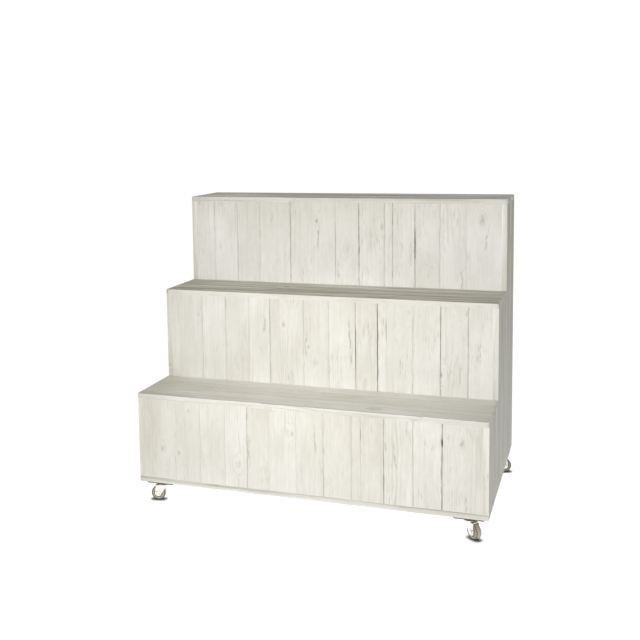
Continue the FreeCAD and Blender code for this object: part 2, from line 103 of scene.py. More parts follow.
# %% Helpers for materials
def linear(hex_colour):
    """A screen colour such as "D9D5C9" as the linear colour that a shader works in. The numbers
    are those of the sRGB curve."""
    shades = [int(hex_colour[start:start + 2], 16) / 255 for start in (0, 2, 4)]
    return (*[((s + 0.055) / 1.055) ** 2.4 if s > 0.04045 else s / 12.92 for s in shades], 1)


def add_node(tree, kind, *inputs, out=0, **settings):
    """Add a shader node. An input is a value, an earlier output, None, or a (name, value) pair."""
    node = tree.nodes.new("ShaderNode" + kind)
    for setting, value in settings.items():
        setattr(node, setting, value)
    for place, value in enumerate(inputs):
        if isinstance(value, tuple) and isinstance(value[0], str):
            place, value = value
        if isinstance(value, bpy.types.NodeSocket):
            tree.links.new(value, node.inputs[place])
        elif value is not None:
            node.inputs[place].default_value = value
    return node.outputs[out]


def ramp(tree, value, span, result=(0, 1), smooth=False):
    """Turn the ends of a span into those of a result. Beyond the span, the result is level."""
    shape = "SMOOTHSTEP" if smooth else "LINEAR"
    return add_node(tree, "MapRange", value, *span, *result, interpolation_type=shape)


def new_material(name):
    """An empty material, its node tree and its surface shader."""
    material = bpy.data.materials.new(name)
    material.use_nodes = True
    return material, material.node_tree, material.node_tree.nodes["Principled BSDF"]


def relief(tree, shader, height, depth, strength=0.4):
    """Shade a surface as if it rose and fell by a depth in metres."""
    bump = add_node(tree, "Bump", ("Strength", strength), ("Distance", depth), ("Height", height))
    tree.links.new(bump, shader.inputs["Normal"])


print("the screen's middle grey is", round(linear("808080")[0], 3), "in linear light")

# %% [markdown]
# ## Floor
#
# The floor of this studio is a sheet of white acrylic that is lit from below, as product tables
# are, so it stays white under the base. A matt white floor under strong lamps would be white too,
# but those lamps would bleach the table. Far in front of the table the sheet is dimmer, because
# its light would fade up each riser. A glowing floor would also hide the shadow where a wheel
# touches it. So the shadow is painted: an ambient occlusion node finds the points that a wheel
# almost covers, and takes their glow away.

# %% Floor
FLOOR_HALF = 20  # metres
FLOOR_COLOUR = "707070"
FLOOR_ROUGHNESS = 0.9
FLOOR_SHINE = 0.1
FLOOR_GLOW = 0.98
APRON_GLOW = 0.4
LIT_FROM_Y = (-2.0, -1.8)  # metres: the apron ends at the first, and the glow is full at the second
CONTACT_REACH = 16 * MM
CONTACT_DARK = 6  # the power that the occlusion is raised to


def make_floor():
    bm = bmesh.new()
    bmesh.ops.create_grid(bm, x_segments=1, y_segments=1, size=FLOOR_HALF)
    mesh = bpy.data.meshes.new("floor")
    bm.to_mesh(mesh)
    bm.free()
    floor = bpy.data.objects.new("floor", mesh)
    bpy.context.scene.collection.objects.link(floor)
    material, tree, shader = new_material("white_acrylic_floor")
    shader.inputs["Base Color"].default_value = linear(FLOOR_COLOUR)
    shader.inputs["Roughness"].default_value = FLOOR_ROUGHNESS
    shader.inputs["Specular IOR Level"].default_value = FLOOR_SHINE
    shader.inputs["Emission Color"].default_value = linear("FFFFFF")
    open_sky = add_node(tree, "AmbientOcclusion", ("Distance", CONTACT_REACH), out="AO", samples=8)
    # Painted shadow: the glow is taken away where a wheel almost covers the floor.
    painted_contact_shadow = add_node(tree, "Math", open_sky, CONTACT_DARK, operation="POWER")
    depth = add_node(tree, "SeparateXYZ", add_node(tree, "TexCoord", out="Object"), out="Y")
    lit = ramp(tree, depth, LIT_FROM_Y, (APRON_GLOW, FLOOR_GLOW))
    glow = add_node(tree, "Math", painted_contact_shadow, lit, operation="MULTIPLY")
    tree.links.new(glow, shader.inputs["Emission Strength"])
    mesh.materials.append(material)
    print("floor", 2 * FLOOR_HALF, "m wide")


make_floor()

# %% [markdown]
# ## Sky and lamps
#
# The risers need flat light from the front, the treads less, and the end of the box must fall into
# half-shade so that its corner shows. A picture of a studio could light all this, but two ramps on
# the direction do the same and are easy to change. The horizon is white, the ceiling dim, and the
# right side of the room a darker cream. A soft box in front brightens the lowest tread most,
# because it sees the higher ones edge-on, and a wide one overhead fills in.

# %% The sky
HORIZON_BRIGHT = 1.05
CEILING_BRIGHT = 0.16
CEILING_RAMP = (0.2, 0.3)  # the upward part of a direction, where the horizon turns into ceiling
RIGHT_SIDE_BRIGHT = 0.3  # as a share of the other sides
RIGHT_SIDE_RAMP = (0.3, 0.7)  # the rightward part of a direction, where the right side begins
RIGHT_SIDE_COLOUR = "F1EDD6"


def make_sky():
    world = bpy.data.worlds.new("studio_sweep")
    world.use_nodes = True
    tree = world.node_tree
    heading = add_node(tree, "TexCoord", out="Generated")
    height = add_node(tree, "SeparateXYZ", heading, out="Z")
    sideways = add_node(tree, "SeparateXYZ", heading, out="X")
    bright = ramp(tree, height, CEILING_RAMP, (HORIZON_BRIGHT, CEILING_BRIGHT), smooth=True)
    shade = ramp(tree, sideways, RIGHT_SIDE_RAMP, (1.0, RIGHT_SIDE_BRIGHT), smooth=True)
    strength = add_node(tree, "Math", bright, shade, operation="MULTIPLY")
    tree.links.new(strength, tree.nodes["Background"].inputs["Strength"])
    cream = ramp(tree, sideways, RIGHT_SIDE_RAMP)
    colour = add_node(tree, "MixRGB", cream, linear("FFFFFF"), linear(RIGHT_SIDE_COLOUR))
    tree.links.new(colour, tree.nodes["Background"].inputs["Color"])
    bpy.context.scene.world = world
    print("sky", HORIZON_BRIGHT, "at the horizon and", CEILING_BRIGHT, "above")


make_sky()

# %% [markdown]
# A soft box is a lamp behind a sheet of cloth, so it is an area light. A grid in front of the cloth
# narrows its spread. The colours go to the screen unchanged, because a white table on a white floor
# would turn grey under a film-like view transform.

# %% Lamps
LAMPS = {  # place, target and size in metres, watts, colour, spread in degrees
    "front_soft_box": ((0.05, -1.95, 1.2), (0.0, -0.3, 0.6), (0.5, 0.5), 7.4, "FFFCF5", 110),
    "top_soft_box": ((-0.4, 0.1, 3.3), (-0.4, 0.1, 0), (3, 3), 36, "FFFFFA", 180),
}


def soft_box(name, place, target, size, watts, colour, spread):
    """A rectangular lamp that looks from its place at a target."""
    lamp = bpy.data.lights.new(name, "AREA")
    lamp.shape = "RECTANGLE"
    lamp.size, lamp.size_y = size
    lamp.energy = watts
    lamp.color = linear(colour)[:3]
    lamp.spread = math.radians(spread)
    box = bpy.data.objects.new(name, lamp)
    box.location = place
    box.rotation_euler = (Vector(target) - Vector(place)).to_track_quat("-Z", "Y").to_euler()
    box.visible_camera = False
    bpy.context.scene.collection.objects.link(box)
    print(name, watts, "W")


for name, facts in LAMPS.items():
    soft_box(name, *facts)
bpy.context.scene.view_settings.view_transform = "Standard"

# %% [markdown]
# ## Pine
#
# Pine is striped because each year's ring ends in a hard dark line. A picture of wood could be
# wrapped round each board, but it would repeat and not meet at the edges. Here a board is a slice
# along a log, so every point of it has a place across the log, a depth below the face and a height
# up the trunk. Each board carries those three as an attribute called "timber", and the rings are
# circles in it. A knot pushes the rings aside. The same coordinates work for boards that lie, stand
# or turn a corner, and the end grain comes out right by itself.

# %% Rings and knots
RING_SPACING = 7 * MM  # wide for pine, so that the rings show at this distance
GRAIN_WANDER = Vector((18, 28.8, 0)) * MM  # across the log, into it and up the trunk
NOISE_MIDDLE = 0.5  # noise goes from 0 to 1 and is mostly near this
LATE_WOOD = (0.4, 0.94)  # the part of a year over which its wood darkens
YEAR_END = (0.95, 1.0)  # the dark line ends sharply
KNOT_SHAPE = (1, 0, 0.55)  # nearly twice as long along the grain as across
KNOT_CORE = (0.6, 1.9)  # in radii: where the knot begins to fade, and where it has ended
KNOT_RAGGED = 1.5  # in radii: how far noise moves its outline in
KNOT_PULL = (0.5, 3.6)  # in radii: where the rings are pulled most, and where no more
PULL_MOST = 0.75


def cloud(tree, place, scale, detail=2.0):
    """Soft noise whose scale is given across the log, into it and up the trunk, in waves a metre."""
    stretched = add_node(tree, "VectorMath", place, scale, operation="MULTIPLY")
    return add_node(tree, "TexNoise", stretched, ("Scale", 1.0), ("Detail", detail), out="Fac")


def patches(tree, place, waves, noise, bare=(0, 1), detail=2.0, smooth=False):
    """Noise as patches. Waves a metre give their size. Where the noise climbs from one value to
    the other, the result goes from its first value to its second."""
    return ramp(tree, cloud(tree, place, waves, detail), noise, bare, smooth)


def attribute_parts(tree, name):
    """A vector attribute as its three parts."""
    vector = add_node(tree, "Attribute", attribute_name=name, out="Vector")
    return [add_node(tree, "SeparateXYZ", vector, out=axis) for axis in "XYZ"]


def pull_of_knots(tree, timber):
    """The board's coordinates with the rings pulled round its knots, and a mask of the knots."""
    ragged = cloud(tree, timber, (130, 130, 90), 3.0)
    knots, pulled = None, timber
    for name in ("knot_a", "knot_b"):
        across, height, radius = attribute_parts(tree, name)
        pin = add_node(tree, "CombineXYZ", across, 0, height)
        away = add_node(tree, "VectorMath", timber, pin, operation="SUBTRACT")
        flat = add_node(tree, "VectorMath", away, KNOT_SHAPE, operation="MULTIPLY")
        reach = add_node(tree, "VectorMath", flat, operation="LENGTH", out="Value")
        share = add_node(tree, "Math", reach, radius, operation="DIVIDE")
        rough_share = add_node(tree, "Math", ragged, KNOT_RAGGED, share, operation="MULTIPLY_ADD")
        core = ramp(tree, rough_share, KNOT_CORE, (1, 0), smooth=True)
        pull = ramp(tree, share, KNOT_PULL, (PULL_MOST, 0), smooth=True)
        drag = add_node(tree, "VectorMath", away, ("Scale", pull), operation="SCALE")
        pulled = add_node(tree, "VectorMath", pulled, drag, operation="SUBTRACT")
        knots = core if knots is None else add_node(tree, "Math", knots, core, operation="MAXIMUM")
    return pulled, knots


def pine_figure(tree):
    """The board's coordinates with the pull of its knots, its late wood and its knots."""
    timber = add_node(tree, "Attribute", attribute_name="timber", out="Vector")
    pulled, knots = pull_of_knots(tree, timber)
    lazy = add_node(tree, "VectorMath", timber, (22, 10, 3.5), operation="MULTIPLY")
    wander = add_node(tree, "TexNoise", lazy, ("Scale", 1.0), ("Detail", 2.0), out="Color")
    bend = add_node(tree, "VectorMath", wander, (NOISE_MIDDLE,) * 3, operation="SUBTRACT")
    bend = add_node(tree, "VectorMath", bend, GRAIN_WANDER, operation="MULTIPLY")
    log = add_node(tree, "VectorMath", pulled, bend, operation="ADD")
    round_log = add_node(tree, "VectorMath", log, (1, 1, 0), operation="MULTIPLY")
    radius = add_node(tree, "VectorMath", round_log, operation="LENGTH", out="Value")
    years = add_node(tree, "Math", radius, RING_SPACING, operation="DIVIDE")
    year = add_node(tree, "Math", years, operation="FRACT")
    rise = ramp(tree, year, LATE_WOOD, smooth=True)
    fall = ramp(tree, year, YEAR_END, (1, 0))
    late = add_node(tree, "Math", rise, fall, operation="MULTIPLY")
    return pulled, late, knots


print("a plank 92 mm wide crosses about", round(92 * MM / RING_SPACING), "rings")

# %% [markdown]
# ## Where the wash is thin
#
# The paint is a thin lime white, brushed on over sawn pine and rubbed back. It covers well, so most
# of a board is plain. Where the wood comes through could be painted by hand on each board, but
# noise gives some eighty boards a pattern of their own at once. Each cause is a mask from 0,
# covered, to 1, bare, and the masks are added up. The first three follow the grain: faint rings and
# short dashes, in drifts where the saw left the surface furry, and fine streaks all over.

# %% Masks along the grain
def grain_drifts(tree, timber, late):
    """Rings and short brush dashes, each only in some stretches of a board."""
    drifts = patches(tree, timber, waves=(10, 10, 3.1), noise=(0.46, 0.72), bare=(0.01, 0.13),
                     smooth=True)
    ringed = add_node(tree, "Math", late, drifts, operation="MULTIPLY")
    dashes = patches(tree, timber, waves=(260, 200, 28), noise=(0.55, 0.68), detail=3.0,
                     smooth=True)
    furry = patches(tree, timber, waves=(17, 17, 7.5), noise=(0.5, 0.66), bare=(0.01, 0.24),
                    detail=1.0, smooth=True)
    return add_node(tree, "Math", dashes, furry, ringed, operation="MULTIPLY_ADD")


def brush_strokes(tree, timber):
    """Fine streaks along the grain, all over, where the bristles dragged the paint thin."""
    strokes = patches(tree, timber, waves=(170, 120, 4.5), noise=(0.42, 0.64), bare=(0.0, 0.09),
                      detail=3.0)
    heavy = patches(tree, timber, waves=(14, 14, 4), noise=(0.35, 0.65), bare=(0.15, 1.0))
    return add_node(tree, "Math", strokes, heavy, operation="MULTIPLY")


# %% [markdown]
# Paint wears off first along an edge, and dust lodges in a joint. Geometry alone wouldn't show
# that, because most joints are far narrower than a pixel. So each board knows how far a point is
# from its two long edges, and how marked the joint at each of them is.

# %% A mask along the joints
DUST_LINE = (0.5 * MM, 2.3 * MM)  # from the edge: where the dust thins, and where it has ended
CHIPPED_RIM = 9 * MM  # how far in from the edge the chips reach


def plank_edges(tree, timber):
    """Edges where the paint was rubbed off, and the dust line of each joint."""
    across, half, _ = attribute_parts(tree, "edge")
    left, right, _ = attribute_parts(tree, "seam")
    inset = add_node(tree, "Math", half, add_node(tree, "Math", across, operation="ABSOLUTE"),
                     operation="SUBTRACT")
    is_right = add_node(tree, "Math", across, 0.0, operation="GREATER_THAN")
    strength = ramp(tree, is_right, (0, 1), (left, right))
    dusty = ramp(tree, inset, DUST_LINE, (1, 0))
    broken = patches(tree, timber, waves=(9, 9, 11), noise=(0.38, 0.62), bare=(0.25, 1.15),
                     detail=3.0)
    dusty = add_node(tree, "Math", dusty, broken, operation="MULTIPLY")
    rim = ramp(tree, inset, (0.0, CHIPPED_RIM), (1, 0), smooth=True)
    chips = patches(tree, timber, waves=(150, 150, 24), noise=(0.5, 0.62), bare=(0, 0.5),
                    detail=4.0)
    chipped = add_node(tree, "Math", rim, chips, operation="MULTIPLY")
    lined = add_node(tree, "Math", strength, dusty, operation="MULTIPLY")
    return add_node(tree, "Math", strength, chipped, lined, operation="MULTIPLY_ADD")


# %% [markdown]
# A coarse saw tears splinters out along the grain and leaves long grey streaks. They are too
# shallow to model, so each is a mask round a line that sways a little, and noise breaks it up.

# %% A mask for torn streaks
TEAR_SWAY = 26 * MM
TEAR_HALF_WIDTH = 6.5 * MM
TEAR_FADE = (0.5, 1)  # in half lengths: where it begins to fade, and where it has ended


def torn_streaks(tree, timber):
    """A long splinter torn out along the grain: it wanders a little and breaks up."""
    total = None
    for name in ("tear_a", "tear_b"):
        across, height, reach = attribute_parts(tree, name)
        x, _, z = [add_node(tree, "SeparateXYZ", timber, out=axis) for axis in "XYZ"]
        sideways = add_node(tree, "Math", x, across, operation="SUBTRACT")
        sway = cloud(tree, timber, (0.1, 0.1, 11))
        sway = add_node(tree, "Math", sway, NOISE_MIDDLE, operation="SUBTRACT")
        sideways = add_node(tree, "Math", sway, TEAR_SWAY, sideways, operation="MULTIPLY_ADD")
        sideways = add_node(tree, "Math", sideways, operation="ABSOLUTE")
        upright = add_node(tree, "Math", z, height, operation="SUBTRACT")
        upright = add_node(tree, "Math", upright, operation="ABSOLUTE")
        upright = add_node(tree, "Math", upright, reach, operation="DIVIDE")
        narrow = ramp(tree, sideways, (0.0, TEAR_HALF_WIDTH), (1, 0))
        ends = ramp(tree, upright, TEAR_FADE, (1, 0))
        mark = add_node(tree, "Math", narrow, ends, operation="MULTIPLY")
        total = mark if total is None else add_node(tree, "Math", total, mark, operation="MAXIMUM")
    broken = patches(tree, timber, waves=(300, 60, 45), noise=(0.44, 0.64), bare=(0.03, 0.55),
                     detail=3.0)
    return add_node(tree, "Math", total, broken, operation="MULTIPLY")


# %% [markdown]
# Goods, hands and feet rub whole faces, the treads most. Light wear is an even veil, and heavy
# wear goes in long streaks along the grain. One noise mask would be as streaky everywhere, so here
# the streaks grow with the wear.

# %% A mask for rubbed faces
LIGHT_TO_HEAVY = (0.1, 0.5)  # the wear at which the streaks are faintest, and at which full
STREAKS_SHOW = (0.15, 1.0)


def rubbed_faces(tree, timber):
    """The wear that a board's points carry, even where it is light and streaky where it is heavy."""
    worn = attribute_parts(tree, "edge")[2]
    broad = patches(tree, timber, waves=(46, 46, 1.5), noise=(0.3, 0.7), bare=(0.3, 1.7))
    fine = patches(tree, timber, waves=(210, 160, 4), noise=(0.35, 0.65), bare=(0.55, 1.5),
                   detail=3.0)
    streaks = add_node(tree, "Math", broad, fine, operation="MULTIPLY")
    patchy = ramp(tree, worn, LIGHT_TO_HEAVY, STREAKS_SHOW)
    streaks = add_node(tree, "Math", streaks, 1.0, operation="SUBTRACT")
    streaks = add_node(tree, "Math", streaks, patchy, 1.0, operation="MULTIPLY_ADD")
    return add_node(tree, "Math", worn, streaks, operation="MULTIPLY")


# %% [markdown]
# ## Whitewash
#
# The masks mix a warm white paint with grey, dry pine. The paint has a tone, from white to cream:
# each board has one of its own, and clouds of three sizes shift it. Towards the table's left end the
# tone is painted darker: painted shade, for the light that falls off towards that end. Limewash is
# matt, and bare wood shines slightly more. The brush's furrows and the rings are too fine to model
# and are only shaded.

# %% Whitewash
LEFT_END_SHADE_SPAN = (-0.6, -0.47)  # metres: the painted shade is full at the first and has ended at the second
LEFT_END_PAINTED_SHADE = 0.36
CLOUDS_SHARE = (0.6, 0.4, 0.5)  # of the board's large and small clouds, and of the table's own
WHITE_PAINT, CREAM_PAINT = linear("FBFBF9"), linear("D9D7CB")
GREY_EARLY_WOOD, GREY_LATE_WOOD = linear("9B9888"), linear("837F70")
GREY_KNOT = linear("81776A")
JOINT_DUST = linear("94826A")
WASH_ROUGHNESS = (0.8, 0.62)  # where the paint covers, and where it is worn to the next value
WORN_THROUGH = 0.6
LOW_SHINE = 0.3
FIBRES = (420, 420, 9)  # waves a metre
RINGS_RISE = 0.4  # beside the fibres, which rise by 1
WORN_SINKS = -0.8
SAWN_DEPTH = 0.35 * MM


def paint_tone(tree, timber):
    """How creamy the paint is, from 0 to 1."""
    tone = attribute_parts(tree, "seam")[2]
    place = add_node(tree, "TexCoord", out="Object")
    sideways = add_node(tree, "SeparateXYZ", place, out="X")
    # Painted shade: the tone darkens towards the table's left end, where the light falls off.
    painted_end_shade = ramp(tree, sideways, LEFT_END_SHADE_SPAN, (1, 0), smooth=True)
    clouds = (cloud(tree, timber, (16, 16, 5), 3.0), cloud(tree, timber, (80, 80, 30), 2.0),
              cloud(tree, place, (2.6, 2.6, 3.4), 2.0))
    for cause, share in zip((*clouds, painted_end_shade), (*CLOUDS_SHARE, LEFT_END_PAINTED_SHADE)):
        tone = add_node(tree, "Math", cause, share, tone, operation="MULTIPLY_ADD")
    return add_node(tree, "Math", tone, 1.0, operation="MULTIPLY", use_clamp=True)


def whitewash():
    """Thin lime-white paint, brushed along the grain over pine and rubbed back: matt and pale,
    with the ring lines, knots and worn edges greyer than the field."""
    material, tree, shader = new_material("whitewashed_sawn_pine")
    timber, late, knots = pine_figure(tree)
    thin = grain_drifts(tree, timber, late)
    along_joints = plank_edges(tree, timber)
    for mask in (along_joints, torn_streaks(tree, timber), rubbed_faces(tree, timber),
                 brush_strokes(tree, timber)):
        thin = add_node(tree, "Math", thin, mask, operation="ADD")
    bleed = patches(tree, timber, waves=(200, 200, 70), noise=(0.4, 0.62), bare=(0.02, 0.5),
                    detail=3.0)
    thin = add_node(tree, "Math", knots, bleed, thin, operation="MULTIPLY_ADD", use_clamp=True)

    paint = add_node(tree, "MixRGB", paint_tone(tree, timber), WHITE_PAINT, CREAM_PAINT)
    wood = add_node(tree, "MixRGB", late, GREY_EARLY_WOOD, GREY_LATE_WOOD)
    wood = add_node(tree, "MixRGB", knots, wood, GREY_KNOT)
    wood = add_node(tree, "MixRGB", along_joints, wood, JOINT_DUST)
    colour = add_node(tree, "MixRGB", thin, paint, wood)
    tree.links.new(colour, shader.inputs["Base Color"])
    dull = ramp(tree, thin, (0, WORN_THROUGH), WASH_ROUGHNESS)
    tree.links.new(dull, shader.inputs["Roughness"])
    shader.inputs["Specular IOR Level"].default_value = LOW_SHINE

    height = cloud(tree, timber, FIBRES, 3.0)
    height = add_node(tree, "Math", late, RINGS_RISE, height, operation="MULTIPLY_ADD")
    height = add_node(tree, "Math", thin, WORN_SINKS, height, operation="MULTIPLY_ADD")
    relief(tree, shader, height, SAWN_DEPTH)
    return material


WHITEWASH = whitewash()
print("made", WHITEWASH.name, "from", len(WHITEWASH.node_tree.nodes), "nodes")

# %% [markdown]
# ## Bare pine
#
# The battens inside were planed and never painted. They could be one brown, since they hardly
# show, but the rings and knots are there to be used again, with the wood's own honey colours.

# %% Bare pine
HONEY_EARLY_WOOD = linear("DDBE8D"), linear("D2AE79")
HONEY_LATE_WOOD = linear("B5854F")
BROWN_KNOT = linear("6E4527")
PLANED_ROUGHNESS = 0.62
PLANED_DEPTH = 0.2 * MM


def bare_pine():
    """Planed, unpainted battens: honey-coloured, dry and open-grained."""
    material, tree, shader = new_material("planed_bare_pine")
    timber, late, knots = pine_figure(tree)
    blotch = cloud(tree, timber, (26, 26, 7), 3.0)
    early = add_node(tree, "MixRGB", blotch, *HONEY_EARLY_WOOD)
    wood = add_node(tree, "MixRGB", late, early, HONEY_LATE_WOOD)
    wood = add_node(tree, "MixRGB", knots, wood, BROWN_KNOT)
    tree.links.new(wood, shader.inputs["Base Color"])
    shader.inputs["Roughness"].default_value = PLANED_ROUGHNESS
    shader.inputs["Specular IOR Level"].default_value = LOW_SHINE
    relief(tree, shader, cloud(tree, timber, FIBRES, 3.0), PLANED_DEPTH)
    return material


BARE_PINE = bare_pine()
print("made", BARE_PINE.name, "from", len(BARE_PINE.node_tree.nodes), "nodes")

# %% [markdown]
# ## From a sketch to a piece
#
# A bmesh is only a sketch. To show, it has to become a mesh, and the mesh needs a material and an
# object. The object then says which body of the CAD model it rides on and which CAD nodes it
# stands for.

# %% Showing a piece
def show(bm, name, body, material, slot, *nodes):
    """Make a piece of a bmesh, ride it on a body and stand it for its CAD nodes."""
    bmesh.ops.recalc_face_normals(bm, faces=bm.faces)
    mesh = bpy.data.meshes.new(name)
    bm.to_mesh(mesh)
    bm.free()
    mesh.materials.append(material)
    piece = bpy.data.objects.new(name, mesh)
    bpy.context.scene.collection.objects.link(piece)
    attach(piece, body)
    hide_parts(*nodes)
    return mesh


# %% [markdown]
# ## Where the boards are
#
# A panel of planks is one CAD node that holds a separate solid for each plank. Separating by loose
# parts would find them in the editor, but it leaves an object for each. A flood fill from point to
# linked point finds them too, and only their boxes are kept.

# %% Where the boards are
TOUCH = 1e-6  # metres: points this close are one point


def boards_of(node, order):
    """The box of each separate solid in a CAD node, sorted along one axis. Solids that are level
    there go by their low corners, so that their order is the same in each run."""
    bm = bmesh.new()
    bm.from_mesh(frame["nodes"][node].data)
    bmesh.ops.remove_doubles(bm, verts=bm.verts, dist=TOUCH)
    boxes = []
    unseen = set(bm.verts)
    while unseen:
        pile = [unseen.pop()]
        corners = []
        while pile:
            vert = pile.pop()
            corners.append(vert.co.copy())
            fresh = {edge.other_vert(vert) for edge in vert.link_edges} & unseen
            unseen -= fresh
            pile.extend(fresh)
        boxes.append((Vector(map(min, *corners)), Vector(map(max, *corners))))
    bm.free()
    return sorted(boxes, key=lambda box: (round(box[0][order], 6), *box[0]))


print("planks in the lower riser:", len(boards_of("lower_riser_planks", 0)))

# %% [markdown]
# ## Edges
#
# Two boards never meet in quite the same way. Most joints of a riser are pushed tight and the wash
# nearly bridges them; a few stand open and read as grey lines. So each edge has a letter or digit
# that says how far the boards stand apart, how much the saw wandered, how much of the sharp arris
# is gone, and how much paint is lost along it. A string of them describes a whole panel.

# %% Edges and lays
EDGES = {  # gap, sway and arris in mm, and the mark from 0 to 1
    "0": dict(gap=0.02, sway=0.03, arris=0.12, mark=0.04),
    "1": dict(gap=0.04, sway=0.08, arris=0.25, mark=0.14),
    "2": dict(gap=0.06, sway=0.14, arris=0.4, mark=0.28),
    "3": dict(gap=0.08, sway=0.22, arris=0.6, mark=0.46),
    "4": dict(gap=0.15, sway=0.3, arris=0.9, mark=0.7),
    "s": dict(gap=0, sway=0.03, arris=0.08, mark=0.03),  # an outer edge, still square
    "w": dict(gap=0, sway=0.1, arris=1.2, mark=0.03),  # an outer edge, worn round
}
BACK_ARRIS = 0.05  # mm, on the face that doesn't show


class Lay:
    """Which way a board lies: the axes of its width, thickness and grain, and its good face."""

    def __init__(self, width, thickness, grain, face):
        self.width, self.thickness, self.grain, self.face = width, thickness, grain, face


FRONT = Lay(width=0, thickness=1, grain=2, face=-1)
BACK = Lay(width=0, thickness=1, grain=2, face=1)
LEFT = Lay(width=1, thickness=0, grain=2, face=-1)
RIGHT = Lay(width=1, thickness=0, grain=2, face=1)
TREAD = Lay(width=1, thickness=2, grain=0, face=1)
FLAT = Lay(width=1, thickness=2, grain=0, face=-1)
print("kinds of edge:", len(EDGES))

# %% [markdown]
# ## Cutting a board
#
# A board starts as a cube and gets its size. A Bevel modifier would ease all its edges alike. The
# bevel operator takes only the edges that it is given, so a worn edge can stand beside a sharp
# one. Cuts across and along then give the board points to move.

# %% Cutting a board
def cut_board(low, high, lay, edges, step):
    """A board as a box with eased long edges, cut into short lengths that can be moved."""
    bm = bmesh.new()
    bmesh.ops.create_cube(bm, size=1)
    bmesh.ops.scale(bm, vec=high - low, verts=bm.verts)
    bmesh.ops.translate(bm, vec=(low + high) / 2, verts=bm.verts)
    middle = (low + high) / 2
    for side in (0, 1):
        for good_face in (True, False):
            long_edges = [
                edge for edge in bm.edges
                if abs(edge.verts[0].co[lay.grain] - edge.verts[1].co[lay.grain]) > step
                and (edge.verts[0].co[lay.width] > middle[lay.width]) == bool(side)
                and (edge.verts[0].co[lay.thickness] > middle[lay.thickness])
                == ((lay.face > 0) == good_face)]
            arris = EDGES[edges[side]]["arris"] if good_face else BACK_ARRIS
            bmesh.ops.bevel(bm, geom=long_edges, offset=arris * MM, offset_type="OFFSET", segments=2,
                            profile=0.5, affect="EDGES", material=-1)
    along = [edge for edge in bm.edges
             if abs(edge.verts[0].co[lay.grain] - edge.verts[1].co[lay.grain]) > step]
    cuts = max(1, round((high - low)[lay.grain] / step))
    bmesh.ops.subdivide_edges(bm, edges=along, cuts=cuts, use_grid_fill=True)
    over = [edge for edge in bm.edges
            if abs(edge.verts[0].co[lay.width] - edge.verts[1].co[lay.width])
            > (high - low)[lay.width] / 2]
    bmesh.ops.subdivide_edges(bm, edges=over, cuts=3, use_grid_fill=True)
    return bm


# %% [markdown]
# ## Weathering a board
#
# A saw never runs quite straight, planks cup a little, and an edge loses splinters. A Displace
# modifier moves all points by one texture and can't tell an edge from a face, so each point is
# moved here by what it is. A nick bites deepest in its middle and fades out both ways along the
# edge.

# %% Weathering a board
SWAY_WAVES = 14  # a metre, like the other waves
RIPPLE_WAVES = 70
RIPPLE_SHARE = 0.4  # of the sway
CUP_WAVES = 4
CUP_DEPTH = 0.15 * MM
SPLINTER_WAVES = 160
NICK_SLOPE = 0.8  # how deep a nick is for its width


def weather(bm, low, high, lay, seed, edges, nicks):
    """Move the points of a board: saw sway, a slight cup and nicks out of its long edges. The odd
    numbers inside each noise only keep it apart from the others."""
    middle = (low + high) / 2
    half = (high - low) / 2
    sway = {side: EDGES[kind]["sway"] * MM for side, kind in zip((-1, 1), edges)}
    for vert in bm.verts:
        side = (vert.co[lay.width] - middle[lay.width]) / half[lay.width]
        height = vert.co[lay.grain]
        depth = (vert.co[lay.thickness] - middle[lay.thickness]) * lay.face / half[lay.thickness]
        drift = noise.noise(Vector((height * SWAY_WAVES, seed, round(side) * 7.7)))
        drift += RIPPLE_SHARE * noise.noise(Vector((height * RIPPLE_WAVES, seed, round(side) * 3.1)))
        if round(side):
            vert.co[lay.width] -= round(side) * sway[round(side)] * (0.5 + drift)
        cup = (1 - side * side) * CUP_DEPTH * noise.noise(Vector((height * CUP_WAVES, seed + 40, 0)))
        vert.co[lay.thickness] -= lay.face * max(0, cup)
        for nick_side, place, reach, width in nicks:
            if nick_side * side < 0.5 or depth < 0:
                continue
            share = 1 - ((height - place) / reach) ** 2
            if share > 0:
                ragged = noise.noise(Vector((height * SPLINTER_WAVES, seed, 5)))
                bite = width * share * (0.75 + 0.5 * ragged)
                vert.co[lay.width] -= nick_side * bite
                vert.co[lay.thickness] -= lay.face * bite * NICK_SLOPE * max(0, depth)


# %% [markdown]
# ## A panel of boards
#
# Some eighty boards could be as many objects. All boards of one panel are one object here, because
# they are one CAD node and share one material. What sets them apart is carried by their points:
# the place in the log, the distance from the board's edge with its wear, how marked the joints at
# its two edges are with the board's own tone, and up to two knots and two torn streaks.

# %% Panels
NOWHERE = (9, 9, 1 * MM)  # a knot or tear that is metres away from every board
BOARD_FACTS = ("timber", "edge", "seam", "knot_a", "knot_b", "tear_a", "tear_b")
NOISE_TRACKS = 50
HEART_ASIDE = (-30, 30)  # mm from the middle of a board to the heart of its log
HEART_BELOW = (12, 60)  # mm from its face to the heart
HEIGHT_UP_LOG = (1, 40)  # metres, so that no two boards share a stretch of noise
OWN_TONE = 0.12


